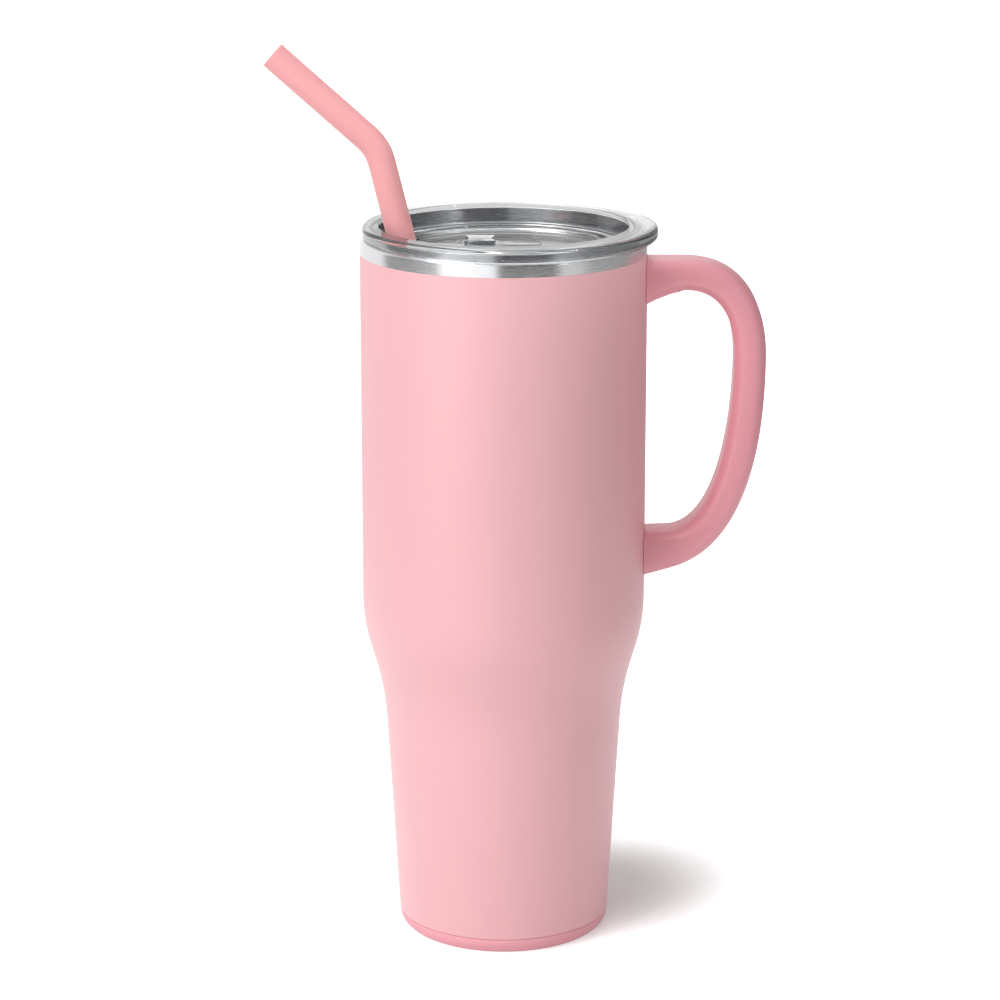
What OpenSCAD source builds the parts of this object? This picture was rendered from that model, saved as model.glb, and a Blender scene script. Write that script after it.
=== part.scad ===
// Insulated tumbler with a side handle, a clear sliding lid and a bent drinking straw.
// Origin: centre of the base pad's underside. +Z is up and the handle points to +X.
// All sizes are in millimetres.

/* [Body] */
// Outside diameter of the straight upper body
body_d = 101.6; // [94:0.2:110]
// Height of the steel lip above the table
lip_z = 255.6; // [240:0.2:275]
// Height of the bare steel band under the lip
band_h = 5.1; // [3:0.1:9]
// Height at which the straight side ends
shoulder_z = 116.2; // [110:0.2:122]
// Diameter of the body below the shoulder
neck_d = 86.4; // [82:0.2:90]
// Height at which the shoulder has drawn in
neck_z = 90.7; // [80:0.1:96]
// Radius that rounds the top of the shoulder
shoulder_round = 61.5; // [20:0.5:65]
// Radius of the hollow curve under the shoulder
neck_round = 104; // [30:1:105]
// Diameter of the shell at its foot
foot_d = 76.2; // [72:0.2:81]
// Thickness of the steel walls
wall = 0.6; // [0.5:0.05:1]
// Clear width of the vacuum space between the walls
vacuum_gap = 2.4; // [1.6:0.1:3.4]
// Clear height of the vacuum space under the liner's floor
floor_gap = 5; // [4:0.1:9]
// Radius inside the bottom corner of the liner
floor_round = 9; // [3:0.5:14]
// Radius that rounds the outside of the steel lip
lip_round = 1.5; // [0.6:0.1:1.7]

/* [Base] */
// Height of the soft base pad's visible rim
pad_h = 4.2; // [3:0.1:7]
// Width of the base pad's rounded lower corner
pad_round = 4.6; // [1:0.1:6]
// Thin dark gap between the pad and the shell
pad_gap = 0.35; // [0.2:0.05:0.8]
// Depth of the recess in the steel bottom
bottom_recess = 3; // [2:0.1:5]
// Diameter of the dimple around the vacuum port
dimple_d = 13; // [10:0.5:18]
// Depth of that dimple
dimple_h = 1.4; // [1:0.1:2]
// Diameter of the vacuum port
port_d = 1.6; // [1:0.1:2.4]
// Diameter of the getter pill under the liner
getter_d = 12; // [8:0.5:16]
// Thickness of the getter pill
getter_t = 2; // [1:0.1:2.2]

/* [Handle] */
// Distance from the body's side to the handle's outermost point
handle_reach = 42.2; // [36:0.2:50]
// Height of the handle, over both arms
handle_h = 115.4; // [104:0.2:120]
// Distance of the handle's top below the coating's upper edge
handle_drop = 2; // [1:0.1:6]
// Width of the handle
handle_w = 18; // [15:0.1:24]
// Thickness of the upper arm
arm_t = 10.8; // [9.5:0.1:13]
// Thickness of the upright grip
grip_t = 11.2; // [9:0.1:14]
// Height of the upper arm where it meets the body
upper_root_h = 16; // [14:0.1:20]
// Height of the lower arm where it meets the body
lower_root_h = 19.4; // [16:0.1:23]
// Straight length of the upper arm
arm_len = 13.2; // [11:0.1:15]
// Height over which the upper arm bends into the grip
bend_h = 35.5; // [30:0.5:42]
// Corner radius on the outer side of the handle
outer_edge_r = 4.4; // [2:0.1:4.6]
// Corner radius on the inner side of the handle
inner_edge_r = 2.8; // [1:0.1:4]
// Gap between the handle's ends and the body
saddle_gap = 0.15; // [0.1:0.05:0.3]

/* [Handle fixings] */
// Thickness of the welded saddle plates
plate_t = 1.2; // [1:0.1:1.6]
// Width of the welded saddle plates
plate_w = 12.4; // [11:0.1:13]
// Height of the welded saddle plates
plate_h = 7.6; // [7:0.1:8.4]
// Length of the tongues, from the body's side
tongue_l = 13; // [12.5:0.1:14]
// Width of the tongues
tongue_w = 9; // [8:0.1:10]
// Thickness of the tongues
tongue_t = 4.4; // [4:0.1:4.8]
// Distance of the screws from the body's side
screw_x = 8.5; // [7.5:0.1:9]
// Diameter of the screw shanks
screw_d = 3.9; // [3:0.1:4.2]
// Diameter of the screw heads
screw_head_d = 6.8; // [6:0.1:7]
// Height of the screw heads
screw_head_h = 1.6; // [1.2:0.1:2]
// Clearance around the tongues, plates and screws
fix_gap = 0.2; // [0.1:0.05:0.3]
// Radial clearance of the screws in the tongues
thread_gap = 0.05; // [0.02:0.01:0.1]

/* [Lid] */
// Overhang of the lid's flange past the body's side
flange_over = 1.4; // [0.2:0.1:3.2]
// Thickness of the flange
flange_t = 4.6; // [3.6:0.1:6]
// Offset of the flange towards the handle, which makes the pull lip
flange_shift = 2.3; // [0:0.1:3]
// Radius of the flange's edges
flange_round = 1.4; // [0.4:0.1:1.7]
// Wall between the dish's top and the plug's side
dish_wall = 2; // [1.6:0.1:3.4]
// How much narrower the dish's floor is on each side
dish_draft = 1.6; // [0.4:0.1:2.4]
// Depth of the dish
dish_h = 6.9; // [5.6:0.1:8]
// Thickness of the dish's floor
panel_t = 3; // [2.6:0.1:3.6]
// Depth of the plug below the flange
plug_h = 9.6; // [9:0.1:13]
// Clearance between the plug and the liner
plug_gap = 1; // [0.6:0.05:1.4]
// Thickness of the plug's skirt
skirt_t = 2.4; // [2.1:0.1:3]
// Diameter of the splash ring on the dish's floor
ring_d = 72; // [60:0.5:78]
// Height of the splash ring
ring_h = 0.7; // [0.4:0.1:1.2]
// Width of the splash ring
ring_w = 1.2; // [0.8:0.1:2]
// Height of the gasket's groove
groove_h = 2.8; // [2.2:0.1:3.2]
// Depth of the gasket's groove
groove_d = 1.2; // [0.8:0.05:1.4]
// Distance of the groove below the flange
groove_drop = 3.2; // [2.6:0.1:3.8]
// Clearance between the gasket and the liner
gasket_gap = 0.3; // [0.2:0.05:0.4]
// Clearance of the gasket in its groove
gasket_fit = 0.05; // [0.02:0.01:0.1]

/* [Slider] */
// Length of the slider's plate
slider_l = 40.6; // [39:0.1:42]
// Width of the slider's plate
slider_w = 17; // [15:0.1:19]
// Thickness of the slider's plate
slider_t = 1.6; // [1.3:0.1:2]
// Bevel around the top of the slider's plate
slider_bevel = 0.6; // [0.3:0.05:0.8]
// Length of the raised thumb block
thumb_l = 10.9; // [9:0.1:13]
// Width of the thumb block
thumb_w = 13; // [10:0.1:14]
// Height of the thumb block above the plate
thumb_h = 2.1; // [1.6:0.1:3.4]
// Position of the thumb block from the plate's middle
thumb_x = -1.3; // [-3:0.1:1]
// Radius of the finger hollows at the ends of the thumb block
thumb_hollow_r = 12; // [9:0.1:20]
// Depth of those finger hollows
thumb_hollow = 1.1; // [0.5:0.1:1.6]
// Depth of the track in the dish's floor
track_h = 1.8; // [1.4:0.05:2]
// Clearance of the slider in its track
slide_gap = 0.2; // [0.1:0.05:0.3]
// Distance from the open slider's end to the drinking hole's centre
slider_open = 7.9; // [7.2:0.1:8.4]
// Length of the slider's stem
stem_l = 6; // [5:0.1:7]
// Width of the slider's stem
stem_w = 5.4; // [4:0.1:6.4]
// Length of the keeper under the floor
keeper_l = 10; // [9:0.1:11]
// Width of the keeper
keeper_w = 12; // [9:0.1:13]
// Thickness of the keeper
keeper_t = 1.3; // [1:0.1:1.8]
// Clearance between the keeper and the stem
keeper_fit = 0.05; // [0.02:0.01:0.1]

/* [Straw] */
// Outside diameter of the straw
straw_d = 9.8; // [8:0.1:10]
// Wall of the straw
straw_wall = 1.7; // [1.2:0.1:2.2]
// Lean of the lower leg from the upright
straw_lean = 13.9; // [12:0.1:14.6]
// Angle of the mouth leg above the level
mouth_rise = 41.7; // [30:0.5:55]
// Height of the bend's corner above the dish's floor
corner_rise = 34; // [26:0.5:45]
// Length of the mouth leg, from the corner to the tip
mouth_l = 48.9; // [38:0.1:60]
// Radius of the bend, at the middle of the straw
bend_r = 17.3; // [12:0.1:24]
// Clearance under the straw's lower end
straw_clear = 10; // [5:0.5:20]
// Distance of the drinking hole's centre from the dish's side
hole_inset = 7.4; // [7:0.1:8.4]
// Diameter of the drinking hole
hole_d = 12; // [11.8:0.1:12.4]

/* [Hidden] */

round_fn = 128;
small_fn = 48;
// A little extra length, so that a cutter passes right through
cut = 1;
// Gap of a part that is bonded or welded on
bond_gap = 0.1;
// How much thinner the mould leaves the straw's wall on each side of the mouth leg
straw_draft = 0.03;

body_r = body_d / 2;
coat_z = lip_z - band_h;
foot_z = pad_h + pad_gap;
foot_r = foot_d / 2;
liner_inset = wall + vacuum_gap;
bottom_z = foot_z + bottom_recess;
liner_under_z = bottom_z + wall + floor_gap;
floor_z = liner_under_z + wall;
liner_r = body_r - liner_inset - wall;

// The body's side from the coating's edge to the foot, as corners
side_corners = [[body_r, coat_z], [body_r, shoulder_z], [neck_d / 2, neck_z], [foot_r, foot_z]];

handle_top = coat_z - handle_drop;
handle_low = handle_top - handle_h;
handle_out = body_r + handle_reach;
// How far the handle's ends are made longer before the body's round is cut from them
saddle_cut = 4;

flange_top = lip_z + flange_t;
panel_z = flange_top - dish_h;
panel_under = panel_z - panel_t;
plug_r = liner_r - plug_gap;
dish_r = plug_r - dish_wall;
dish_floor_r = dish_r - dish_draft;
// Distance of the drinking hole from the lid's centre
hole_x = dish_floor_r - hole_inset;
plug_z = lip_z - plug_h;
groove_top = lip_z - groove_drop;
groove_r = plug_r - groove_d;

track_z = panel_z - track_h;
slider_z = track_z + slide_gap;
slider_left = -hole_x + slider_open;
slider_mid = slider_left + slider_l / 2;
// The slider shuts the hole when its end lies past the hole's far side
slider_travel = slider_open + hole_d / 2 + slider_bevel;
track_left = slider_left - slider_travel - slide_gap;
track_right = slider_left + slider_l + slide_gap;
track_w = slider_w + 2 * slide_gap;

straw_r = straw_d / 2;
straw_bore_r = straw_r - straw_wall;
// The lower leg's axis crosses the middle of the dish's floor at the drinking hole's centre
hole_mid_z = panel_z - panel_t / 2;
corner_z = panel_z + corner_rise;
corner_x = -hole_x - (corner_z - hole_mid_z) * tan(straw_lean);
bend_turn = 90 - straw_lean - mouth_rise;
bend_tangent = bend_r * tan(bend_turn / 2);
straw_low_z = floor_z + straw_clear + straw_r * sin(straw_lean);
leg_l = (corner_z - straw_low_z) / cos(straw_lean);

function unit(v) = v / norm(v);

// Corner b moved inwards by d, where the outline runs a, b, c down the right side
function inset_corner(a, b, c, d) =
    let (u = unit(b - a), v = unit(c - b))
    let (n1 = [u.y, -u.x], n2 = [v.y, -v.x])
    let (m = unit(n1 + n2))
    b + m * d / (m * n1);

// Points of the arc of radius r that rounds corner b between a and c
function round_corner(a, b, c, r, steps) =
    let (u = unit(a - b), v = unit(c - b))
    let (half = acos(u * v) / 2)
    let (reach = min(r / tan(half), 0.49 * norm(a - b), 0.49 * norm(c - b)))
    let (rr = reach * tan(half), centre = b + unit(u + v) * rr / sin(half))
    let (p = b + u * reach - centre, q = b + v * reach - centre)
    let (from = atan2(p.y, p.x), turn = atan2(q.y, q.x) - from)
    let (sweep = turn > 180 ? turn - 360 : turn < -180 ? turn + 360 : turn)
    [for (i = [0 : steps]) centre + rr * [cos(from + sweep * i / steps), sin(from + sweep * i / steps)]];

function reversed(list) = [for (i = [len(list) - 1 : -1 : 0]) list[i]];

// The body's side, moved inwards by d, from top_z down to low_z
function side(d, top_z, low_z) =
    let (c = side_corners)
    let (foot_slope = (c[2].x - c[3].x) / (c[2].y - c[3].y))
    let (low = [c[3].x - d + (low_z - c[3].y) * foot_slope, low_z])
    let (s = inset_corner(c[0], c[1], c[2], d), n = inset_corner(c[1], c[2], c[3], d))
    concat([[c[0].x - d, top_z]],
        round_corner([c[0].x - d, top_z], s, n, shoulder_round - d, 10),
        round_corner(s, n, low, neck_round + d, 10),
        [low]);

function bezier(p, t) =
    pow(1 - t, 3) * p[0] + 3 * pow(1 - t, 2) * t * p[1]
    + 3 * (1 - t) * pow(t, 2) * p[2] + pow(t, 3) * p[3];

module outer_shell() {
    color("#f3b6bf")
        rotate_extrude($fn = round_fn)
            polygon(concat(side(0, coat_z, foot_z), reversed(side(wall, coat_z, foot_z))));
}

// One drawn sheet: the cup, the rolled lip and the bare band that meets the shell
module inner_liner() {
    outside = side(liner_inset, lip_z - wall, liner_under_z);
    inside = side(liner_inset + wall, lip_z, floor_z);
    last = len(outside) - 1;
    outside_corner = round_corner([0, liner_under_z], outside[last], outside[last - 1],
        floor_round + wall, 8);
    inside_corner = round_corner(inside[last - 1], inside[last], [0, floor_z], floor_round, 8);
    outside_wall = [for (i = [last - 1 : -1 : 0]) outside[i]];
    inside_wall = [for (i = [1 : last - 1]) inside[i]];
    lip_outer = round_corner([body_r, coat_z], [body_r, lip_z], [liner_r, lip_z], lip_round, 6);
    lip_inner = round_corner([body_r, lip_z], [liner_r, lip_z], [liner_r, coat_z], lip_round / 2, 4);
    band_inside = [[body_r - wall, lip_z - wall - lip_round], [body_r - wall, coat_z], [body_r, coat_z]];
    roll = [[body_r - wall - lip_round, lip_z - wall]];
    color("#c9cacc")
        rotate_extrude($fn = round_fn)
            polygon(concat([[0, liner_under_z]], outside_corner, outside_wall, roll, band_inside,
                lip_outer, lip_inner, inside_wall, inside_corner, [[0, floor_z]]));
}

// Pressed steel disc that closes the shell, with a dimple around the vacuum port
module shell_bottom() {
    rim_r = foot_r - wall - bond_gap;
    color("#b9babc")
        rotate_extrude($fn = round_fn)
            polygon([[port_d / 2, bottom_z + dimple_h], [dimple_d / 2, bottom_z + dimple_h],
                [dimple_d / 2, bottom_z], [rim_r - wall, bottom_z], [rim_r - wall, foot_z],
                [rim_r, foot_z], [rim_r, bottom_z + wall], [dimple_d / 2 + wall, bottom_z + wall],
                [dimple_d / 2 + wall, bottom_z + dimple_h + wall], [port_d / 2, bottom_z + dimple_h + wall]]);
}

module getter() {
    color("#8d8a86")
        translate([0, 0, liner_under_z - bond_gap - getter_t])
            cylinder(h = getter_t, d = getter_d, $fn = small_fn);
}

// Bead of sealing glass in the dimple
module vacuum_seal() {
    bead_r = dimple_d / 2 - 2 * bond_gap;
    bead_top = bottom_z + dimple_h - bond_gap;
    color("#6f6a64")
        rotate_extrude($fn = small_fn)
            polygon([[0, bottom_z], [bead_r * 0.7, bottom_z + dimple_h * 0.25],
                [bead_r, bottom_z + dimple_h * 0.6], [bead_r, bead_top], [0, bead_top]]);
}

module base_pad() {
    boss_r = foot_r - 2 * wall - 3 * bond_gap;
    boss_z = bottom_z - bond_gap;
    color("#e8979f")
        rotate_extrude($fn = round_fn)
            polygon(concat([[0, 0], [foot_r - pad_round, 0]],
                [for (a = [15 : 15 : 90]) [foot_r - pad_round + pad_round * sin(a),
                    pad_h * 0.92 * (1 - cos(a))]],
                [[foot_r, pad_h], [boss_r, pad_h], [boss_r, boss_z], [0, boss_z]]));
}

// The handle's outer and inner outlines, each as points down from the upper arm to the lower one
arm_end = body_r + arm_len;
outer_line = concat(
    [[body_r - saddle_cut, handle_top], [body_r + arm_len / 2, handle_top]],
    [for (i = [0 : 9]) bezier([[arm_end, handle_top], [arm_end + handle_reach * 0.43, handle_top],
        [handle_out, handle_top - bend_h * 0.35], [handle_out, handle_top - bend_h]], i / 10)],
    [for (i = [0 : 14]) bezier([[handle_out, handle_top - bend_h], [handle_out, handle_top - bend_h * 1.65],
        [handle_out - grip_t * 0.27, handle_low + grip_t], [body_r + arm_len * 0.7, handle_low + 3]], i / 14)],
    [[body_r, handle_low + 0.4], [body_r - saddle_cut, handle_low - 0.8]]);

inner_out = handle_out - grip_t;
inner_line = concat(
    [[body_r - saddle_cut, handle_top - upper_root_h - 2.5], [body_r + arm_len * 0.38, handle_top - arm_t - 2.3]],
    [for (i = [0 : 9]) bezier([[arm_end, handle_top - arm_t], [arm_end + handle_reach * 0.26, handle_top - arm_t],
        [inner_out, handle_top - arm_t - bend_h * 0.22], [inner_out, handle_top - bend_h - 1]], i / 10)],
    [for (i = [0 : 14]) bezier([[inner_out, handle_top - bend_h - 1], [inner_out, handle_top - bend_h * 1.6],
        [inner_out - grip_t * 0.52, handle_low + lower_root_h],
        [body_r + arm_len * 0.55, handle_low + lower_root_h]], i / 14)],
    [[body_r, handle_low + lower_root_h - 0.2], [body_r - saddle_cut, handle_low + lower_root_h - 0.4]]);

// Rounded section between an outer point p and an inner point q, as a ring of points
function handle_ring(p, q, steps) =
    let (t = unit(p - q), thick = norm(p - q), half_w = handle_w / 2)
    let (corners = [[thick, half_w, outer_edge_r, 0], [thick, -half_w, outer_edge_r, 270],
        [0, -half_w, inner_edge_r, 180], [0, half_w, inner_edge_r, 90]])
    [for (c = corners) for (i = [steps : -1 : 0])
        let (a = c[3] + 90 * i / steps)
        let (s = c[0] + c[2] * (cos(a) - (c[0] > 0 ? 1 : -1)))
        let (w = c[1] + c[2] * (sin(a) - (c[1] > 0 ? 1 : -1)))
        [q.x + t.x * s, w, q.y + t.y * s]];

module handle_solid() {
    steps = 5;
    count = 4 * (steps + 1);
    last = len(outer_line) - 1;
    rings = [for (i = [0 : last]) each handle_ring(outer_line[i], inner_line[i], steps)];
    sides = [for (i = [0 : last - 1]) for (j = [0 : count - 1])
        let (k = (j + 1) % count)
        for (f = [[i * count + j, (i + 1) * count + j, (i + 1) * count + k],
            [i * count + j, (i + 1) * count + k, i * count + k]]) f];
    first_cap = [for (j = [0 : count - 1]) j];
    last_cap = [for (j = [count - 1 : -1 : 0]) last * count + j];
    polyhedron(points = rings, faces = concat([first_cap, last_cap], sides), convexity = 6);
}

// Heights of the two tongues' middles
tongue_z = [handle_top - arm_t / 2 - 0.6, handle_low + lower_root_h / 2 + 1];
// Heights of the arms' undersides at the screws
screw_seat_z = [tongue_z[0] - tongue_t / 2 - 2.4, tongue_z[1] - tongue_t / 2 - 3.2];

// Room for one bracket and its screw in an end of the handle
module fixing_pocket(i) {
    z = tongue_z[i];
    pocket_h = plate_h + 2 * fix_gap;
    intersection() {
        translate([body_r - saddle_cut - cut, -plate_w / 2 - fix_gap, z - pocket_h / 2])
            cube([saddle_cut + cut + plate_t + fix_gap, plate_w + 2 * fix_gap, pocket_h]);
        cylinder(h = 2 * lip_z, r = body_r + plate_t + fix_gap, $fn = round_fn);
    }
    translate([body_r, -tongue_w / 2 - fix_gap, z - tongue_t / 2 - fix_gap])
        cube([tongue_l + fix_gap, tongue_w + 2 * fix_gap, tongue_t + 2 * fix_gap]);
    translate([body_r + screw_x, 0, z - tongue_t / 2 - 12])
        cylinder(h = 12, d = screw_d + 2 * fix_gap, $fn = small_fn);
    translate([body_r + screw_x, 0, screw_seat_z[i] - 12])
        cylinder(h = 12, d = screw_head_d + 2 * fix_gap, $fn = small_fn);
}

module handle_grip() {
    color("#e39ba4")
        difference() {
            handle_solid();
            cylinder(h = 2 * lip_z, r = body_r + saddle_gap, $fn = round_fn);
            for (i = [0, 1]) fixing_pocket(i);
        }
}

// Saddle plate welded to the shell, with a tongue that the handle slips over
module bracket(i) {
    z = tongue_z[i];
    color("#b4b5b7")
        difference() {
            union() {
                intersection() {
                    translate([0, -plate_w / 2, z - plate_h / 2])
                        cube([body_r + plate_t + cut, plate_w, plate_h]);
                    cylinder(h = 2 * lip_z, r = body_r + plate_t, $fn = round_fn);
                }
                translate([body_r - cut, -tongue_w / 2, z - tongue_t / 2])
                    cube([tongue_l + cut, tongue_w, tongue_t]);
            }
            cylinder(h = 2 * lip_z, r = body_r + bond_gap, $fn = round_fn);
            translate([body_r + screw_x, 0, z - tongue_t / 2 - cut])
                cylinder(h = tongue_t + 2 * cut, d = screw_d + 2 * thread_gap, $fn = small_fn);
        }
}

module upper_bracket() {
    bracket(0);
}

module lower_bracket() {
    bracket(1);
}

// Two screws, driven up from under the arms
module handle_screws() {
    color("#a9aaac")
        for (i = [0, 1])
            translate([body_r + screw_x, 0, screw_seat_z[i] - screw_head_h - bond_gap])
                difference() {
                    union() {
                        cylinder(h = screw_head_h, d = screw_head_d, $fn = small_fn);
                        cylinder(h = tongue_z[i] + tongue_t / 2 - screw_seat_z[i] + screw_head_h,
                            d = screw_d, $fn = small_fn);
                    }
                    // Hexagonal drive
                    translate([0, 0, -cut])
                        cylinder(h = screw_head_h / 2 + cut, d = 3.2, $fn = 6);
                }
}

// Stadium-shaped block from x0 to x1
module stadium(x0, x1, w, h) {
    translate([x0 + w / 2, 0, 0]) cylinder(h = h, d = w, $fn = small_fn);
    translate([x1 - w / 2, 0, 0]) cylinder(h = h, d = w, $fn = small_fn);
    translate([x0 + w / 2, -w / 2, 0]) cube([x1 - x0 - w, w, h]);
}

module lid_body() {
    flange_r = body_r + flange_over;
    color("#dfe3e6", 0.5)
        difference() {
            union() {
                translate([flange_shift, 0, 0])
                    rotate_extrude($fn = round_fn)
                        polygon(concat([[0, lip_z]],
                            round_corner([0, lip_z], [flange_r, lip_z], [flange_r, flange_top], flange_round, 5),
                            round_corner([flange_r, lip_z], [flange_r, flange_top], [0, flange_top],
                                flange_round, 5),
                            [[0, flange_top]]));
                translate([0, 0, plug_z])
                    cylinder(h = lip_z - plug_z + cut, r = plug_r, $fn = round_fn);
            }
            // Dish above the floor
            translate([0, 0, panel_z])
                cylinder(h = dish_h, r1 = dish_floor_r, r2 = dish_r, $fn = round_fn);
            translate([0, 0, flange_top])
                cylinder(h = cut, r = dish_r, $fn = round_fn);
            // Hollow under the floor
            translate([0, 0, plug_z - cut])
                cylinder(h = panel_under - plug_z + cut, r = plug_r - skirt_t, $fn = round_fn);
            // Groove for the gasket
            translate([0, 0, groove_top - groove_h])
                difference() {
                    cylinder(h = groove_h, r = plug_r + cut, $fn = round_fn);
                    cylinder(h = groove_h, r = groove_r, $fn = round_fn);
                }
            // Track, drinking hole and the slot for the slider's stem
            translate([0, 0, track_z])
                stadium(track_left, track_right, track_w, dish_h);
            translate([-hole_x, 0, panel_under - cut])
                cylinder(h = panel_t + 2 * cut, d = hole_d, $fn = small_fn);
            translate([slider_mid - slider_travel - stem_l / 2 - slide_gap, -stem_w / 2 - slide_gap,
                panel_under - cut])
                cube([slider_travel + stem_l + 2 * slide_gap, stem_w + 2 * slide_gap, panel_t + 2 * cut]);
        }
    color("#dfe3e6", 0.5)
        difference() {
            translate([0, 0, panel_z - panel_t / 2])
                cylinder(h = panel_t / 2 + ring_h, d = ring_d, $fn = round_fn);
            translate([0, 0, panel_z - panel_t])
                cylinder(h = 2 * panel_t + ring_h, d = ring_d - 2 * ring_w, $fn = round_fn);
            translate([0, 0, panel_z - panel_t])
                stadium(track_left, track_right, track_w, 2 * panel_t + ring_h);
        }
}

// Ring with two soft lips that wipe the liner
module lid_gasket() {
    ring_in = groove_r + gasket_fit;
    ring_out = plug_r;
    tip_r = liner_r - gasket_gap;
    low = groove_top - groove_h + gasket_fit;
    high = groove_top - gasket_fit;
    third = (high - low) / 5;
    color("#e9e9ea")
        rotate_extrude($fn = round_fn)
            polygon([[ring_in, low], [ring_out, low], [tip_r, low + third], [ring_out, low + 2 * third],
                [ring_out, low + 3 * third], [tip_r, low + 4 * third], [ring_out, high], [ring_in, high]]);
}

module slider() {
    thumb_mid = slider_mid + thumb_x;
    plate_top = slider_z + slider_t;
    color("#d3d8db", 0.6) {
        translate([0, 0, slider_z])
            stadium(slider_left, slider_left + slider_l, slider_w, slider_t - slider_bevel);
        translate([0, 0, slider_z])
            stadium(slider_left + slider_bevel, slider_left + slider_l - slider_bevel,
                slider_w - 2 * slider_bevel, slider_t);
        difference() {
            translate([thumb_mid - thumb_l / 2, -thumb_w / 2, slider_z])
                cube([thumb_l, thumb_w, slider_t + thumb_h]);
            for (s = [-1, 1])
                translate([thumb_mid + s * (thumb_l / 2 + thumb_hollow_r - thumb_hollow), 0, plate_top])
                    cylinder(h = thumb_h + cut, r = thumb_hollow_r, $fn = 96);
        }
        translate([slider_mid - stem_l / 2, -stem_w / 2, panel_under - slide_gap - keeper_t])
            cube([stem_l, stem_w, slider_z - panel_under + slide_gap + keeper_t + slider_t / 2]);
    }
}

// Retaining plate snapped on the slider's stem under the floor
module slider_keeper() {
    color("#c6ccd0", 0.6)
        translate([slider_mid, 0, panel_under - slide_gap - keeper_t])
            difference() {
                translate([-keeper_l / 2, -keeper_w / 2, 0])
                    cube([keeper_l, keeper_w, keeper_t]);
                translate([-stem_l / 2 - keeper_fit, -stem_w / 2 - keeper_fit, -cut])
                    cube([stem_l + 2 * keeper_fit, stem_w + 2 * keeper_fit, keeper_t + 2 * cut]);
            }
}

// The straw's form at radius r, made longer by extra at both ends. It is drawn flat about the bend's
// centre, with the lower leg along -Y. The mouth leg is thinner by draft.
module straw_form(r, draft, extra) {
    lower_l = leg_l - bend_tangent + extra;
    upper_l = mouth_l - bend_tangent + extra;
    rotate_extrude(angle = bend_turn, $fn = 192)
        translate([bend_r, 0])
            circle(r = r, $fn = small_fn);
    translate([bend_r, -lower_l, 0])
        rotate([-90, 0, 0])
            cylinder(h = lower_l, r = r, $fn = small_fn);
    rotate([0, 0, bend_turn])
        translate([bend_r, -straw_draft, 0])
            rotate([-90, 0, 0])
                cylinder(h = upper_l + straw_draft, r = r - draft, $fn = small_fn);
}

module straw() {
    color("#f2a0a4")
        translate([corner_x, 0, corner_z])
            rotate([0, -straw_lean, 0])
                translate([-bend_r, 0, -bend_tangent])
                    rotate([90, 0, 0])
                        difference() {
                            straw_form(straw_r, straw_draft, 0);
                            straw_form(straw_bore_r, -straw_draft, cut);
                        }
}

outer_shell();
inner_liner();
shell_bottom();
getter();
vacuum_seal();
base_pad();
handle_grip();
upper_bracket();
lower_bracket();
handle_screws();
lid_body();
lid_gasket();
slider();
slider_keeper();
straw();
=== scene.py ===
import math
import bpy
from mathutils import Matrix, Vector


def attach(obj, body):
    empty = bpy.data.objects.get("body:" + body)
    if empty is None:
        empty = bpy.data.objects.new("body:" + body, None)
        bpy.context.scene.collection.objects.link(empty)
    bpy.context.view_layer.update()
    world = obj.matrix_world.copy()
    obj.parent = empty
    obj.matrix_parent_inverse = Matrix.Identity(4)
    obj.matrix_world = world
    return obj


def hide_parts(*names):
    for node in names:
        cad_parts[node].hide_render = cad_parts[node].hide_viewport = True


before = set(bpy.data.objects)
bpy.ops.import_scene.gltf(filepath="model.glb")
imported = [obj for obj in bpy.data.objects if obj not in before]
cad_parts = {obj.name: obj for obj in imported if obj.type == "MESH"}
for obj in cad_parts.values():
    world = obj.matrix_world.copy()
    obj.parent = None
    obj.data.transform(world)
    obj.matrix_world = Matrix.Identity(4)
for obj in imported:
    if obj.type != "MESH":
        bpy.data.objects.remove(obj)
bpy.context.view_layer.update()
mm = 0.001
print("stage: frame loaded, nodes", len(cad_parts))


def clearSelection():
    if bpy.context.object and bpy.context.object.mode != "OBJECT":
        bpy.ops.object.mode_set(mode="OBJECT")
    bpy.ops.object.select_all(action="DESELECT")


def selectOnly(piece):
    clearSelection()
    piece.select_set(True)
    bpy.context.view_layer.objects.active = piece


def openEdit(piece, mode="VERT"):
    selectOnly(piece)
    bpy.ops.object.mode_set(mode="EDIT")
    bpy.ops.mesh.select_mode(type=mode)


def closeEdit():
    bpy.ops.object.mode_set(mode="OBJECT")


# One vertex is extruded from point to point, in millimetres
def drawLine(name, points):
    clearSelection()
    bpy.ops.mesh.primitive_plane_add(size=mm, location=(0, 0, 0))
    piece = bpy.context.object
    piece.name = name
    piece.data.name = name
    openEdit(piece)
    bpy.ops.mesh.select_all(action="SELECT")
    bpy.ops.mesh.merge(type="CENTER")
    bpy.ops.transform.translate(value=Vector(points[0]) * mm)
    for here, there in zip(points, points[1:]):
        bpy.ops.mesh.extrude_vertices_move(
            TRANSFORM_OT_translate={"value": (Vector(there) - Vector(here)) * mm})
    closeEdit()
    return piece


def cleanMesh(piece):
    openEdit(piece)
    bpy.ops.mesh.select_all(action="SELECT")
    bpy.ops.mesh.remove_doubles(threshold=2e-6)
    bpy.ops.mesh.normals_make_consistent(inside=False)
    closeEdit()


# A profile of (radius, height) points turned once round the vertical axis
def turnProfile(name, points, turns):
    piece = drawLine(name, [(r, 0, z) for r, z in points])
    openEdit(piece)
    bpy.ops.mesh.select_all(action="SELECT")
    bpy.ops.mesh.spin(steps=turns, angle=2 * math.pi, center=(0, 0, 0), axis=(0, 0, 1))
    closeEdit()
    cleanMesh(piece)
    return piece


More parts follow.
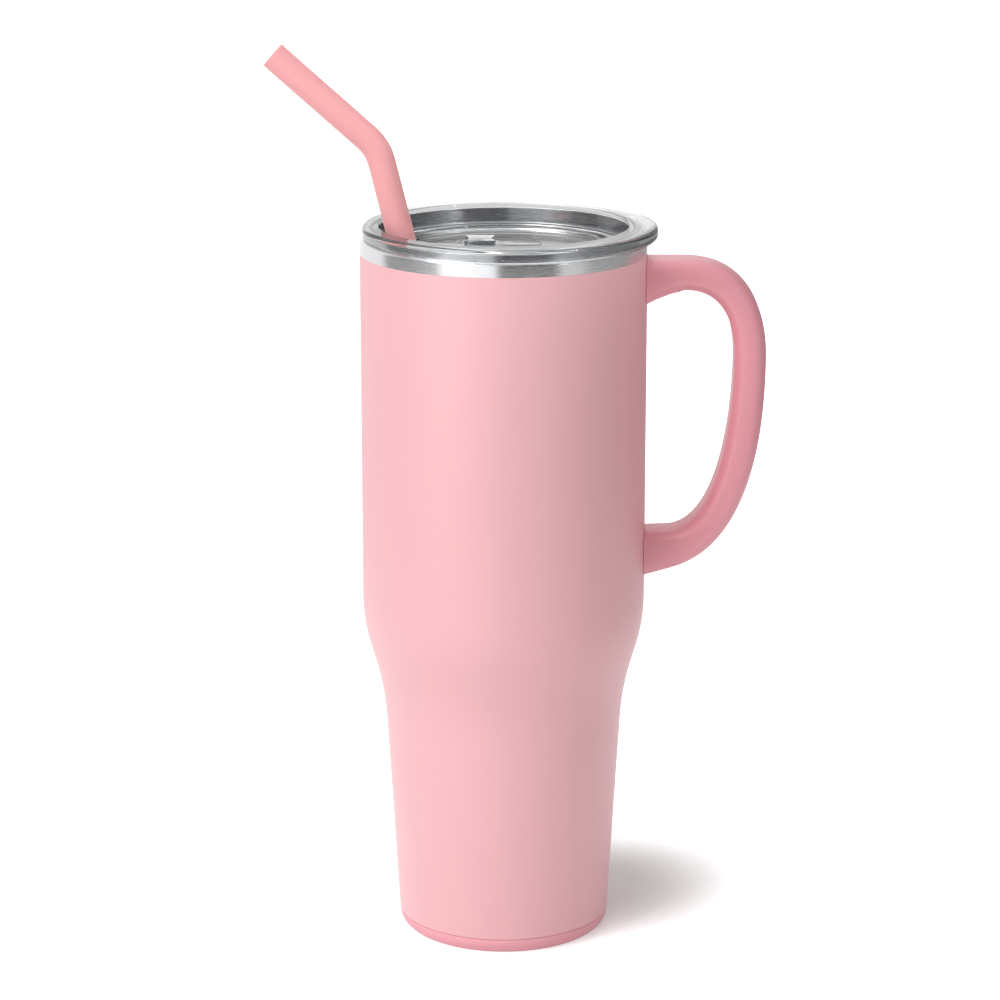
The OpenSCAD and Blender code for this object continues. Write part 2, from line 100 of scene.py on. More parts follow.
# A flat outline at height z0, filled and raised to z1
def raiseOutline(name, outline, z0, z1):
    piece = drawLine(name, [(x, y, z0) for x, y in outline + outline[:1]])
    openEdit(piece)
    bpy.ops.mesh.select_all(action="SELECT")
    bpy.ops.mesh.remove_doubles(threshold=2e-6)
    bpy.ops.mesh.edge_face_add()
    bpy.ops.mesh.extrude_region_move(TRANSFORM_OT_translate={"value": (0, 0, (z1 - z0) * mm)})
    closeEdit()
    cleanMesh(piece)
    return piece


# Selects the edges that wanted(end, end) picks, both ends in millimetres, and counts them
def selectEdges(piece, wanted):
    openEdit(piece, "EDGE")
    bpy.ops.mesh.select_all(action="DESELECT")
    closeEdit()
    points = [v.co / mm for v in piece.data.vertices]
    found = 0
    for edge in piece.data.edges:
        if wanted(points[edge.vertices[0]], points[edge.vertices[1]]):
            edge.select = True
            found += 1
    openEdit(piece, "EDGE")
    return found


def selectPoints(piece, wanted):
    openEdit(piece)
    bpy.ops.mesh.select_all(action="DESELECT")
    closeEdit()
    for vertex in piece.data.vertices:
        vertex.select = bool(wanted(vertex.co / mm))
    openEdit(piece)


def bevelEdges(piece, wanted, width, segments, profile=0.5):
    if selectEdges(piece, wanted):
        bpy.ops.mesh.bevel(offset=width * mm, offset_type="OFFSET", segments=segments, profile=profile,
                           affect="EDGES", clamp_overlap=True)
    closeEdit()


def applyModifier(piece, kind, **values):
    selectOnly(piece)
    modifier = piece.modifiers.new(kind.title(), kind)
    for name, value in values.items():
        setattr(modifier, name, value)
    bpy.ops.object.modifier_apply(modifier=modifier.name)


def joinShape(piece, other, how):
    applyModifier(piece, "BOOLEAN", operation=how, solver="EXACT", object=other)
    bpy.data.objects.remove(other)


def smoothBy(piece, degrees):
    selectOnly(piece)
    bpy.ops.object.shade_smooth_by_angle(angle=math.radians(degrees))


# Dresses a finished piece, hangs it on its body and hides the CAD nodes that it stands for
def settle(piece, body, slot, material, *standsFor):
    clearSelection()
    piece.data.materials.clear()
    piece.data.materials.append(material)
    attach(piece, body)
    if standsFor:
        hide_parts(*standsFor)
    print("piece:", piece.name, len(piece.data.polygons), "faces")


# The corner a-b-c rounded to radius r, or to what its sides leave room for
def roundCorner(a, b, c, r, steps):
    a, b, c = Vector(a), Vector(b), Vector(c)
    u, v = (a - b).normalized(), (c - b).normalized()
    half = math.acos(max(-1, min(1, u.dot(v)))) / 2
    reach = min(r / math.tan(half), 0.49 * (a - b).length, 0.49 * (c - b).length)
    rr = reach * math.tan(half)
    centre = b + (u + v).normalized() * rr / math.sin(half)
    p, q = b + u * reach - centre, b + v * reach - centre
    start = math.atan2(p.y, p.x)
    turn = math.atan2(q.y, q.x) - start
    turn = (turn + math.pi) % (2 * math.pi) - math.pi
    angles = [start + turn * i / steps for i in range(steps + 1)]
    return [(centre.x + rr * math.cos(angle), centre.y + rr * math.sin(angle)) for angle in angles]


# A line through corners, each rounded to its own radius
def softLine(corners, rounds, steps=4):
    line = [corners[0]]
    for i in range(1, len(corners) - 1):
        if rounds[i] > 0:
            line += roundCorner(corners[i - 1], corners[i], corners[i + 1], rounds[i], steps)
        else:
            line.append(corners[i])
    return line + [corners[-1]]


# Where the corner b of a line a-b-c goes when its sides move inwards by d
def insetCorner(a, b, c, d):
    a, b, c = Vector(a), Vector(b), Vector(c)
    u, v = (b - a).normalized(), (c - b).normalized()
    n1, n2 = Vector((u.y, -u.x)), Vector((v.y, -v.x))
    m = (n1 + n2).normalized()
    return tuple(b + m * d / m.dot(n1))


def bezier(p, t):
    return tuple((1 - t) ** 3 * p[0][k] + 3 * (1 - t) ** 2 * t * p[1][k]
                 + 3 * (1 - t) * t ** 2 * p[2][k] + t ** 3 * p[3][k] for k in (0, 1))


# The start of each of a Bezier curve's steps, without its end
def bezierSteps(p, steps):
    return [bezier(p, i / steps) for i in range(steps)]


# A colour of 0 to 255 as the shader takes it
def paint(red, green, blue):
    def one(v):
        v = v / 255
        return v / 12.92 if v <= 0.04045 else ((v + 0.055) / 1.055) ** 2.4
    return (one(red), one(green), one(blue), 1)


def newGroup(name, inputs, outputs):
    group = bpy.data.node_groups.new(name, "ShaderNodeTree")
    for label, value in inputs:
        socket = group.interface.new_socket(name=label, in_out="INPUT", socket_type="NodeSocketFloat")
        socket.default_value = value
    for label in outputs:
        group.interface.new_socket(name=label, in_out="OUTPUT", socket_type="NodeSocketFloat")
    start = group.nodes.new("NodeGroupInput")
    end = group.nodes.new("NodeGroupOutput")
    return group, start, end


def addMath(nodes, links, how, a, b=None, c=None, clamp=False):
    node = nodes.new("ShaderNodeMath")
    node.operation = how
    node.use_clamp = clamp
    for i, value in enumerate((a, b, c)):
        if value is None:
            continue
        if isinstance(value, (int, float)):
            node.inputs[i].default_value = value
        else:
            links.new(value, node.inputs[i])
    return node.outputs[0]


def addNoise(nodes, links, vector, scale, detail=2.0, rough=0.5):
    node = nodes.new("ShaderNodeTexNoise")
    node.inputs["Detail"].default_value = detail
    node.inputs["Roughness"].default_value = rough
    if isinstance(scale, (int, float)):
        node.inputs["Scale"].default_value = scale
    else:
        links.new(scale, node.inputs["Scale"])
    links.new(vector, node.inputs["Vector"])
    return node.outputs["Fac"]


# Fine even grain with a slow mottle under it, for coatings, mouldings and silicone
def makeGrainGroup():
    inputs = [("Scale", 1500), ("Roughness", 0.5), ("Spread", 0.05), ("Mottle", 0.3)]
    group, start, end = newGroup("fineGrain", inputs, ["Roughness", "Height", "Tone"])
    nodes, links = group.nodes, group.links
    place = nodes.new("ShaderNodeTexCoord").outputs["Object"]
    fine = addNoise(nodes, links, place, start.outputs["Scale"], 3.0, 0.6)
    slowScale = addMath(nodes, links, "MULTIPLY", start.outputs["Scale"], 0.018)
    slow = addNoise(nodes, links, place, slowScale, 2.0, 0.5)
    fineOff = addMath(nodes, links, "SUBTRACT", fine, 0.5)
    slowOff = addMath(nodes, links, "SUBTRACT", slow, 0.5)
    mixed = addMath(nodes, links, "MULTIPLY_ADD", slowOff, start.outputs["Mottle"], fineOff)
    roughness = addMath(nodes, links, "MULTIPLY_ADD", mixed, start.outputs["Spread"],
                        start.outputs["Roughness"], True)
    links.new(roughness, end.inputs["Roughness"])
    links.new(fine, end.inputs["Height"])
    links.new(addMath(nodes, links, "MULTIPLY_ADD", mixed, 0.5, 0.5, True), end.inputs["Tone"])
    return group


# Hairlines that run round the vertical axis, as a polishing wheel leaves them
def makeHairlineGroup():
    group, start, end = newGroup("hairlines", [("Lines", 9000), ("Roughness", 0.25), ("Spread", 0.2)],
                                 ["Roughness", "Height", "Tone"])
    nodes, links = group.nodes, group.links
    split = nodes.new("ShaderNodeSeparateXYZ")
    links.new(nodes.new("ShaderNodeTexCoord").outputs["Object"], split.inputs[0])
    x, y, z = split.outputs
    angle = addMath(nodes, links, "ARCTAN2", y, x)
    xSquared = addMath(nodes, links, "MULTIPLY", x, x)
    ySquared = addMath(nodes, links, "MULTIPLY", y, y)
    radius = addMath(nodes, links, "SQRT", addMath(nodes, links, "ADD", xSquared, ySquared))
    spot = nodes.new("ShaderNodeCombineXYZ")
    links.new(addMath(nodes, links, "MULTIPLY", radius, start.outputs["Lines"]), spot.inputs[0])
    links.new(addMath(nodes, links, "MULTIPLY", z, start.outputs["Lines"]), spot.inputs[1])
    links.new(addMath(nodes, links, "MULTIPLY", angle, 9.0), spot.inputs[2])
    lines = addNoise(nodes, links, spot.outputs[0], 1.0, 3.0, 0.7)
    off = addMath(nodes, links, "SUBTRACT", lines, 0.5)
    roughness = addMath(nodes, links, "MULTIPLY_ADD", off, start.outputs["Spread"],
                        start.outputs["Roughness"], True)
    links.new(roughness, end.inputs["Roughness"])
    links.new(lines, end.inputs["Height"])
    links.new(addMath(nodes, links, "MULTIPLY_ADD", off, 0.8, 0.5, True), end.inputs["Tone"])
    return group


grainGroup = makeGrainGroup()
hairlineGroup = makeHairlineGroup()


def newMaterial(name, values):
    material = bpy.data.materials.new(name)
    material.use_nodes = True
    shader = material.node_tree.nodes["Principled BSDF"]
    for label, value in values.items():
        shader.inputs[label].default_value = value
    return material, shader


# Puts a shared effect in a material: two tones of colour, roughness and bump
def dressWith(material, shader, group, values, dark, light, bump):
    nodes, links = material.node_tree.nodes, material.node_tree.links
    effect = nodes.new("ShaderNodeGroup")
    effect.node_tree = group
    for label, value in values.items():
        effect.inputs[label].default_value = value
    mix = nodes.new("ShaderNodeMix")
    mix.data_type = "RGBA"
    mix.inputs["A"].default_value = dark
    mix.inputs["B"].default_value = light
    links.new(effect.outputs["Tone"], mix.inputs["Factor"])
    links.new(mix.outputs["Result"], shader.inputs["Base Color"])
    links.new(effect.outputs["Roughness"], shader.inputs["Roughness"])
    node = nodes.new("ShaderNodeBump")
    node.inputs["Strength"].default_value = 1.0
    node.inputs["Distance"].default_value = bump * mm
    links.new(effect.outputs["Height"], node.inputs["Height"])
    links.new(node.outputs["Normal"], shader.inputs["Normal"])


# A finish with the fine grain, whose shader also takes the extra values
def makeGrained(name, look, extra):
    material, shader = newMaterial(name, extra)
    grain = {"Scale": look["grain"], "Roughness": look["roughness"], "Spread": look["spread"],
             "Mottle": look["mottle"]}
    dressWith(material, shader, grainGroup, grain, paint(*look["dark"]), paint(*look["light"]), look["bump"])
    return material


def makeCoating():
    look = {"dark": (232, 174, 180), "light": (238, 183, 188), "grain": 2200, "mottle": 0.8,
            "roughness": 0.48, "spread": 0.16, "bump": 0.012}
    return makeGrained("coatedShell", look, {"Specular IOR Level": 0.85})


def makeHandlePlastic():
    look = {"dark": (226, 147, 158), "light": (232, 156, 167), "grain": 1700, "mottle": 0.9,
            "roughness": 0.4, "spread": 0.14, "bump": 0.01}
    return makeGrained("handlePlastic", look, {"Specular IOR Level": 0.75})


def makePadSilicone():
    look = {"dark": (238, 166, 176), "light": (244, 175, 185), "grain": 1300, "mottle": 1.0,
            "roughness": 0.6, "spread": 0.12, "bump": 0.01}
    return makeGrained("baseSilicone", look, {"Specular IOR Level": 0.4, "Sheen Weight": 0.05})


def makeStrawSilicone():
    look = {"dark": (237, 163, 165), "light": (242, 170, 172), "grain": 1100, "mottle": 1.0,
            "roughness": 0.55, "spread": 0.12, "bump": 0.008}
    sheen = {"Sheen Weight": 0.4, "Sheen Roughness": 0.5, "Sheen Tint": (1.0, 0.72, 0.7, 1)}
    return makeGrained("strawSilicone", look, {"Specular IOR Level": 0.4, **sheen})


def makeGasketSilicone():
    look = {"dark": (216, 219, 222), "light": (230, 232, 234), "grain": 900, "mottle": 0.8,
            "roughness": 0.45, "spread": 0.12, "bump": 0.006}
    return makeGrained("gasketSilicone", look, {"Transmission Weight": 0.35, "IOR": 1.41})


# Brushed steel, whose reflections are drawn out along its hairlines
def makeSteel(name, dark, light, roughness, spread, lines, bump, anisotropy):
    material, shader = newMaterial(name, {"Metallic": 1.0, "Anisotropic": anisotropy,
                                          "Anisotropic Rotation": 0.25})
    dressWith(material, shader, hairlineGroup, {"Lines": lines, "Roughness": roughness, "Spread": spread},
              paint(*dark), paint(*light), bump)
    tangent = material.node_tree.nodes.new("ShaderNodeTangent")
    tangent.direction_type = "RADIAL"
    tangent.axis = "Z"
    material.node_tree.links.new(tangent.outputs[0], shader.inputs["Tangent"])
    return material


def makeDullMetal(name, dark, light, roughness, grain, bump, metallic=1.0):
    look = {"dark": dark, "light": light, "grain": grain, "mottle": 0.8, "roughness": roughness, "spread": 0.3,
            "bump": bump}
    return makeGrained(name, look, {"Metallic": metallic})


# Clear plastic with a faint smear in its polish. Light passes it, so that the cup under it isn't dark
def makeClear(name, tint, roughness):
    material, shader = newMaterial(name, {"Transmission Weight": 1.0, "IOR": 1.49})
    nodes, links = material.node_tree.nodes, material.node_tree.links
    dressWith(material, shader, grainGroup, {"Scale": 400, "Roughness": roughness, "Spread": 0.03, "Mottle": 1.5},
              tint[0], tint[1], 0.0006)
    output = nodes["Material Output"]
    clear = nodes.new("ShaderNodeBsdfTransparent")
    clear.inputs["Color"].default_value = (0.86, 0.87, 0.88, 1)
    mix = nodes.new("ShaderNodeMixShader")
    path = nodes.new("ShaderNodeLightPath")
    links.new(path.outputs["Is Shadow Ray"], mix.inputs["Fac"])
    links.new(shader.outputs[0], mix.inputs[1])
    links.new(clear.outputs[0], mix.inputs[2])
    links.new(mix.outputs[0], output.inputs["Surface"])
    return material


coatedShell = makeCoating()
handlePlastic = makeHandlePlastic()
baseSilicone = makePadSilicone()
strawSilicone = makeStrawSilicone()
gasketSilicone = makeGasketSilicone()
brushedRim = makeSteel("brushedRim", (214, 215, 217), (226, 227, 229), 0.26, 0.14, 9000, 0.003, 0.88)
bracketSteel = makeDullMetal("bracketSteel", (176, 177, 180), (192, 193, 196), 0.38, 1800, 0.004)
bottomSteel = makeSteel("bottomSteel", (178, 179, 182), (196, 197, 200), 0.32, 0.25, 6000, 0.004, 0.3)
screwSteel = makeDullMetal("screwSteel", (168, 169, 172), (188, 189, 192), 0.3, 2600, 0.003)
getterMetal = makeDullMetal("getterMetal", (96, 94, 91), (112, 109, 106), 0.7, 1500, 0.02)
sealingGlass = makeDullMetal("sealingGlass", (78, 73, 67), (92, 86, 79), 0.2, 500, 0.003, 0.0)
lidClear = makeClear("lidClear", ((0.81, 0.82, 0.825, 1), (0.85, 0.86, 0.865, 1)), 0.06)
sliderClear = makeClear("sliderClear", ((0.89, 0.91, 0.92, 1), (0.93, 0.94, 0.95, 1)), 0.04)
print("stage: materials made")


# Sizes of the double-walled body. Like those of the other pieces, they are in millimetres.
bodyShape = {
    "radius": 50.8, "coatTop": 250.5, "lip": 255.6, "shoulder": 116.2, "neckRadius": 43.2, "neck": 90.7,
    "footRadius": 38.1, "foot": 4.55, "seam": 6.25, "shoulderRound": 61.5, "neckRound": 104.0,
    "wall": 0.6, "vacuum": 2.4, "linerUnder": 13.15, "floor": 13.75, "floorRound": 9.0, "lipRound": 1.5,
    "collar": 0.8, "collarTop": 258.1, "collarFoot": 0.2, "collarRound": 0.35, "edgeRound": 0.22, "turns": 192,
}


# The body's side, moved inwards by d, from topZ down to lowZ
def sideLine(d, topZ, lowZ, steps=26):
    s = bodyShape
    rim, shoulder = (s["radius"], s["coatTop"]), (s["radius"], s["shoulder"])
    neck, foot = (s["neckRadius"], s["neck"]), (s["footRadius"], s["foot"])
    slope = (neck[0] - foot[0]) / (neck[1] - foot[1])
    low = (foot[0] - d + (lowZ - foot[1]) * slope, lowZ)
    top = (rim[0] - d, topZ)
    shoulderIn = insetCorner(rim, shoulder, neck, d)
    neckIn = insetCorner(shoulder, neck, foot, d)
    return ([top] + roundCorner(top, shoulderIn, neckIn, s["shoulderRound"] - d, steps)
            + roundCorner(shoulderIn, neckIn, low, s["neckRound"] + d, steps) + [low])


def makeShell():
    s = bodyShape
    outside = sideLine(0, s["coatTop"], s["seam"])
    inside = sideLine(s["wall"], s["coatTop"], s["seam"])
    topEdge = roundCorner(inside[0], outside[0], outside[1], s["edgeRound"], 4)
    lowEdge = roundCorner(outside[-2], outside[-1], inside[-1], s["edgeRound"], 4)
    loop = topEdge + outside[1:-1] + lowEdge + inside[::-1]
    piece = turnProfile("outerShell", loop + loop[:1], s["turns"])
    smoothBy(piece, 40)
    settle(piece, "vessel", "coated_shell", coatedShell, "outer_shell")


# The cup, its rolled lip over the shell and the thin collar that stands in the lid's channel
def makeLiner():
    s = bodyShape
    inset = s["wall"] + s["vacuum"]
    outside = sideLine(inset, s["lip"] - s["wall"], s["linerUnder"])
    inside = sideLine(inset + s["wall"], s["lip"], s["floor"])
    outsideCorner = roundCorner((0, s["linerUnder"]), outside[-1], outside[-2], s["floorRound"] + s["wall"], 10)
    insideCorner = roundCorner(inside[-2], inside[-1], (0, s["floor"]), s["floorRound"], 14)
    outer, inner = s["radius"], s["radius"] - inset - s["wall"]
    lipOuter = roundCorner((outer, s["coatTop"]), (outer, s["lip"]), (inner, s["lip"]), s["lipRound"], 10)
    collarCorners = [lipOuter[-1], (inner + s["collar"], s["lip"]), (inner + s["collar"], s["collarTop"]),
                     (inner, s["collarTop"]), (inner, s["coatTop"])]
    collar = softLine(collarCorners, [0, s["collarFoot"], s["collarRound"], s["collarRound"], 0], 5)
    rollIn, rollTop = outer - s["wall"], s["lip"] - s["wall"]
    roll = [(rollIn - s["lipRound"], rollTop), (rollIn, rollTop - s["lipRound"]),
            (rollIn, s["coatTop"]), (outer, s["coatTop"])]
    line = ([(0, s["linerUnder"])] + outsideCorner + outside[-2:0:-1] + roll + lipOuter + collar[1:-1]
            + inside[1:-1] + insideCorner + [(0, s["floor"])])
    piece = turnProfile("innerLiner", line, s["turns"])
    smoothBy(piece, 40)
    settle(piece, "vessel", "brushed_rim", brushedRim, "inner_liner")


def makePad():
    pad = {"radius": 38.1, "round": 5.4, "roundShare": 0.92, "height": 6.1, "boss": 36.6, "bossTop": 7.45,
           "edge": 0.3}
    flatRadius = pad["radius"] - pad["round"]
    rise = pad["height"] * pad["roundShare"]
    turns = [math.radians(angle) for angle in range(5, 91, 5)]
    corner = [(flatRadius + pad["round"] * math.sin(turn), rise * (1 - math.cos(turn))) for turn in turns]
    ledge = (pad["boss"], pad["height"])
    topEdge = roundCorner((pad["radius"], 0), (pad["radius"], pad["height"]), ledge, pad["edge"], 5)
    line = ([(0, 0), (flatRadius, 0)] + corner + topEdge
            + [ledge, (pad["boss"], pad["bossTop"]), (0, pad["bossTop"])])
    piece = turnProfile("basePad", line, bodyShape["turns"])
    smoothBy(piece, 35)
    settle(piece, "vessel", "base_silicone", baseSilicone, "base_pad")


makeShell()
makeLiner()
makePad()
print("stage: body turned")


handleShape = {
    "reach": 42.2, "top": 248.5, "height": 115.4, "width": 18.0, "arm": 10.8, "grip": 11.2,
    "lowerRoot": 16.65, "armLength": 13.2, "bend": 35.5, "outerEdge": 4.4, "innerEdge": 2.8, "innerProfile": 0.32,
    "cut": 4.0, "gap": 0.15, "rootSteps": 8, "upperSteps": 25, "lowerSteps": 37,
}
handleCurves = {
    # how far the curves are pulled, as shares of the reach, the bend, the grip and the arm
    "outTop": 0.43, "outFall": 0.35, "outSide": 1.65, "outLow": 0.27, "outArm": 0.7,
    "inTop": 0.26, "inFall": 0.22, "inSide": 1.6, "inLow": 0.385, "inArm": 0.55,
    # rises and drops of the arms and of their roots, in millimetres
    "outRise": 3.0, "inDrop": 1.0, "rootDrop": 7.4, "rootEase": 3.6, "rootOut": 1.0, "rootBack": 4.0,
    "rootEnd": 0.8, "lowOuter": 0.4, "lowOuterEnd": 0.8, "lowInner": 0.2, "lowInnerEnd": 0.4,
}


# The handle's outer and inner line, as (x, z) points from the upper root round to the lower one
def handleLines():
    h, c = handleShape, handleCurves
    r, top = bodyShape["radius"], h["top"]
    low, under = top - h["height"], top - h["arm"]
    start, end, out = r - h["cut"], r + h["armLength"], r + h["reach"]
    outBend = (out, top - h["bend"])
    outerTurn = [(end, top), (end + h["reach"] * c["outTop"], top), (out, top - h["bend"] * c["outFall"]), outBend]
    outerFall = [outBend, (out, top - h["bend"] * c["outSide"]),
                 (out - h["grip"] * c["outLow"], low + h["grip"]),
                 (r + h["armLength"] * c["outArm"], low + c["outRise"])]
    outer = [(start + (h["armLength"] + h["cut"]) * i / h["rootSteps"], top) for i in range(h["rootSteps"])]
    outer += bezierSteps(outerTurn, h["upperSteps"]) + bezierSteps(outerFall, h["lowerSteps"]) + outerFall[-1:]
    outer += [(r, low + c["lowOuter"]), (start, low - c["lowOuterEnd"])]
    inner, root = out - h["grip"], low + h["lowerRoot"]
    inBend = (inner, top - h["bend"] - c["inDrop"])
    innerRoot = [(start, under - c["rootDrop"]), (r + c["rootOut"], under - c["rootEase"]),
                 (end - c["rootBack"], under - c["rootEnd"]), (end, under)]
    innerTurn = [(end, under), (end + h["reach"] * c["inTop"], under),
                 (inner, under - h["bend"] * c["inFall"]), inBend]
    innerFall = [inBend, (inner, top - h["bend"] * c["inSide"]), (inner - h["grip"] * c["inLow"], root),
                 (r + h["armLength"] * c["inArm"], root)]
    inside = bezierSteps(innerRoot, h["rootSteps"]) + bezierSteps(innerTurn, h["upperSteps"])
    inside += bezierSteps(innerFall, h["lowerSteps"]) + innerFall[-1:]
    inside += [(r, root - c["lowInner"]), (start, root - c["lowInnerEnd"])]
    return outer, inside


# The strip between the two lines is raised to the handle's width, and its long edges are rounded
def makeHandle():
    h = handleShape
    half = h["width"] / 2
    outer, inside = handleLines()
    piece = drawLine("handleGrip", [(x, -half, z) for x, z in outer])
    other = drawLine("handleInside", [(x, -half, z) for x, z in inside])
    clearSelection()
    other.select_set(True)
    piece.select_set(True)
    bpy.context.view_layer.objects.active = piece
    bpy.ops.object.join()
    openEdit(piece, "EDGE")
    bpy.ops.mesh.select_all(action="SELECT")
    bpy.ops.mesh.bridge_edge_loops()
    bpy.ops.mesh.select_all(action="SELECT")
    bpy.ops.mesh.extrude_region_move(TRANSFORM_OT_translate={"value": (0, h["width"] * mm, 0)})
    closeEdit()
    cleanMesh(piece)
    outerSpots = {(round(x, 2), round(z, 2)) for x, z in outer}
    innerSpots = {(round(x, 2), round(z, 2)) for x, z in inside}

    def along(spots):
        return lambda a, b: (abs(a.y - b.y) < 0.01 and abs(abs(a.y) - half) < 0.01
                             and all((round(p.x, 2), round(p.z, 2)) in spots for p in (a, b)))

    bevelEdges(piece, along(outerSpots), h["outerEdge"], 9)
    bevelEdges(piece, along(innerSpots), h["innerEdge"], 7, h["innerProfile"])
    cleanMesh(piece)
    cutHandle(piece)
    smoothBy(piece, 32)
    settle(piece, "vessel", "handle_plastic", handlePlastic, "handle_grip")


# The body's round and the room for the fixings are cut out of the handle's ends
def cutHandle(piece):
    h = handleShape
    r = bodyShape["radius"]
    fix = {"tongueL": 13.0, "tongueW": 9.0, "tongueT": 4.4, "screwX": 8.5, "shank": 3.9, "head": 6.8, "gap": 0.2,
           "upperDrop": 0.6, "upperSeat": 2.4, "lowerTongue": 10.7, "lowerSeat": 3.2, "drill": 12.0,
           "bodyMid": 190.0, "bodyTall": 200.0}
    clearSelection()
    bpy.ops.mesh.primitive_cylinder_add(vertices=256, radius=(r + h["gap"]) * mm, depth=fix["bodyTall"] * mm,
                                        location=(0, 0, fix["bodyMid"] * mm))
    joinShape(piece, bpy.context.object, "DIFFERENCE")
    upperTongue = h["top"] - h["arm"] / 2 - fix["upperDrop"]
    lowerTongue = h["top"] - h["height"] + fix["lowerTongue"]
    pocket = [fix[side] + 2 * fix["gap"] for side in ("tongueL", "tongueW", "tongueT")]
    for z, seat in ((upperTongue, fix["upperSeat"]), (lowerTongue, fix["lowerSeat"])):
        clearSelection()
        bpy.ops.mesh.primitive_cube_add(size=mm, location=((r + fix["tongueL"] / 2) * mm, 0, z * mm), scale=pocket)
        joinShape(piece, bpy.context.object, "DIFFERENCE")
        under = z - fix["tongueT"] / 2
        for width, top in ((fix["shank"], under), (fix["head"], under - seat)):
            place = ((r + fix["screwX"]) * mm, 0, (top - fix["drill"] / 2) * mm)
            clearSelection()
            bpy.ops.mesh.primitive_cylinder_add(vertices=64, radius=(width / 2 + fix["gap"]) * mm,
                                                depth=fix["drill"] * mm, location=place)
            joinShape(piece, bpy.context.object, "DIFFERENCE")


makeHandle()
print("stage: handle made")


lidShape = {
    "flange": 52.2, "shift": 2.3, "under": 255.63, "top": 260.2, "flangeRound": 1.4,
    "dish": 44.2, "dishFloor": 42.6, "panel": 253.3, "panelUnder": 250.3,
    "plug": 46.2, "plugLow": 246.0, "skirt": 43.8, "groove": 45.0, "grooveHigh": 252.4, "grooveLow": 249.6,
    "channel": 48.3, "channelTop": 258.4, "ring": 36.0, "ringWidth": 1.2, "ringTop": 254.0,
    "edge": 0.45, "floorCorner": 0.9, "ringFoot": 0.25, "ringRound": 0.3, "grooveEdge": 0.15, "turns": 192,
}
trackShape = {"left": -42.0, "right": 13.5, "width": 17.4, "floor": 251.5, "holeX": -35.2, "hole": 6.0,
              "slotLeft": -24.7, "slotRight": -3.8, "slotWidth": 5.8, "holeDrill": 12.0, "slotDrill": 8.0}


# The outline of a slot from x0 to x1 with half-round ends
def stadiumOutline(x0, x1, width, steps=28):
    r = width / 2
    turns = [180 * i / steps for i in range(steps + 1)]
    right = [(x1 - r + r * math.cos(math.radians(a - 90)), r * math.sin(math.radians(a - 90))) for a in turns]
    left = [(x0 + r + r * math.cos(math.radians(a + 90)), r * math.sin(math.radians(a + 90))) for a in turns]
    return right + left


def makeLid():
    s = lidShape
    ringIn = s["ring"] - s["ringWidth"]
    # Radius, height and round of each corner of the section
    section = [
        (0, s["panelUnder"], 0), (s["skirt"], s["panelUnder"], 0.8), (s["skirt"], s["plugLow"], 0.5),
        (s["plug"], s["plugLow"], 0.6), (s["plug"], s["grooveLow"], s["grooveEdge"]),
        (s["groove"], s["grooveLow"], 0), (s["groove"], s["grooveHigh"], 0),
        (s["plug"], s["grooveHigh"], s["grooveEdge"]), (s["plug"], s["channelTop"], 0.3),
        (s["channel"], s["channelTop"], 0.3), (s["channel"], s["under"], 0.1),
        (s["flange"], s["under"], s["flangeRound"]), (s["flange"], s["top"], s["flangeRound"]),
        (s["dish"], s["top"], s["edge"]), (s["dishFloor"], s["panel"], s["floorCorner"]),
        (s["ring"], s["panel"], s["ringFoot"]), (s["ring"], s["ringTop"], s["ringRound"]),
        (ringIn, s["ringTop"], s["ringRound"]), (ringIn, s["panel"], s["ringFoot"]), (0, s["panel"], 0),
    ]
    line = softLine([corner[:2] for corner in section], [corner[2] for corner in section], 6)
    piece = turnProfile("lidBody", line, s["turns"])
    # The flange stands off centre, so that it reaches out over the handle
    selectPoints(piece, lambda p: math.hypot(p.x, p.y) > s["channel"] + 0.3 and p.z > s["under"] - 0.1)
    bpy.ops.transform.translate(value=(s["shift"] * mm, 0, 0))
    closeEdit()
    t = trackShape
    track = raiseOutline("trackCut", stadiumOutline(t["left"], t["right"], t["width"]), t["floor"], s["top"] + 1)
    joinShape(piece, track, "DIFFERENCE")
    clearSelection()
    bpy.ops.mesh.primitive_cylinder_add(vertices=72, radius=t["hole"] * mm, depth=t["holeDrill"] * mm,
                                        location=(t["holeX"] * mm, 0, s["panel"] * mm))
    joinShape(piece, bpy.context.object, "DIFFERENCE")
    slotWide = t["slotRight"] - t["slotLeft"]
    clearSelection()
    bpy.ops.mesh.primitive_cube_add(size=mm, location=((t["slotLeft"] + slotWide / 2) * mm, 0, s["panel"] * mm),
                                    scale=(slotWide, t["slotWidth"], t["slotDrill"]))
    joinShape(piece, bpy.context.object, "DIFFERENCE")
    cleanMesh(piece)
    smoothBy(piece, 28)
    settle(piece, "lid", "lid_clear", lidClear, "lid_body")


# A seal whose two lips stand just off the liner's wall
def makeGasket():
    g = {"inside": 45.05, "base": 46.1, "tip": 46.9, "low": 249.65, "high": 252.35, "edge": 0.1, "lipRound": 0.16,
         "turns": 160}
    step = (g["high"] - g["low"]) / 5
    corners = [(g["inside"], g["low"]), (g["base"], g["low"]), (g["tip"], g["low"] + step),
               (g["base"], g["low"] + 2 * step), (g["base"], g["low"] + 3 * step), (g["tip"], g["low"] + 4 * step),
               (g["base"], g["high"]), (g["inside"], g["high"]), (g["inside"], g["low"])]
    rounds = [g["lipRound"] if corner[0] == g["tip"] else g["edge"] for corner in corners]
    piece = turnProfile("lidGasket", softLine(corners, rounds, 4), g["turns"])
    smoothBy(piece, 40)
    settle(piece, "lid", "gasket_silicone", gasketSilicone, "lid_gasket")


makeLid()
makeGasket()
print("stage: lid made")


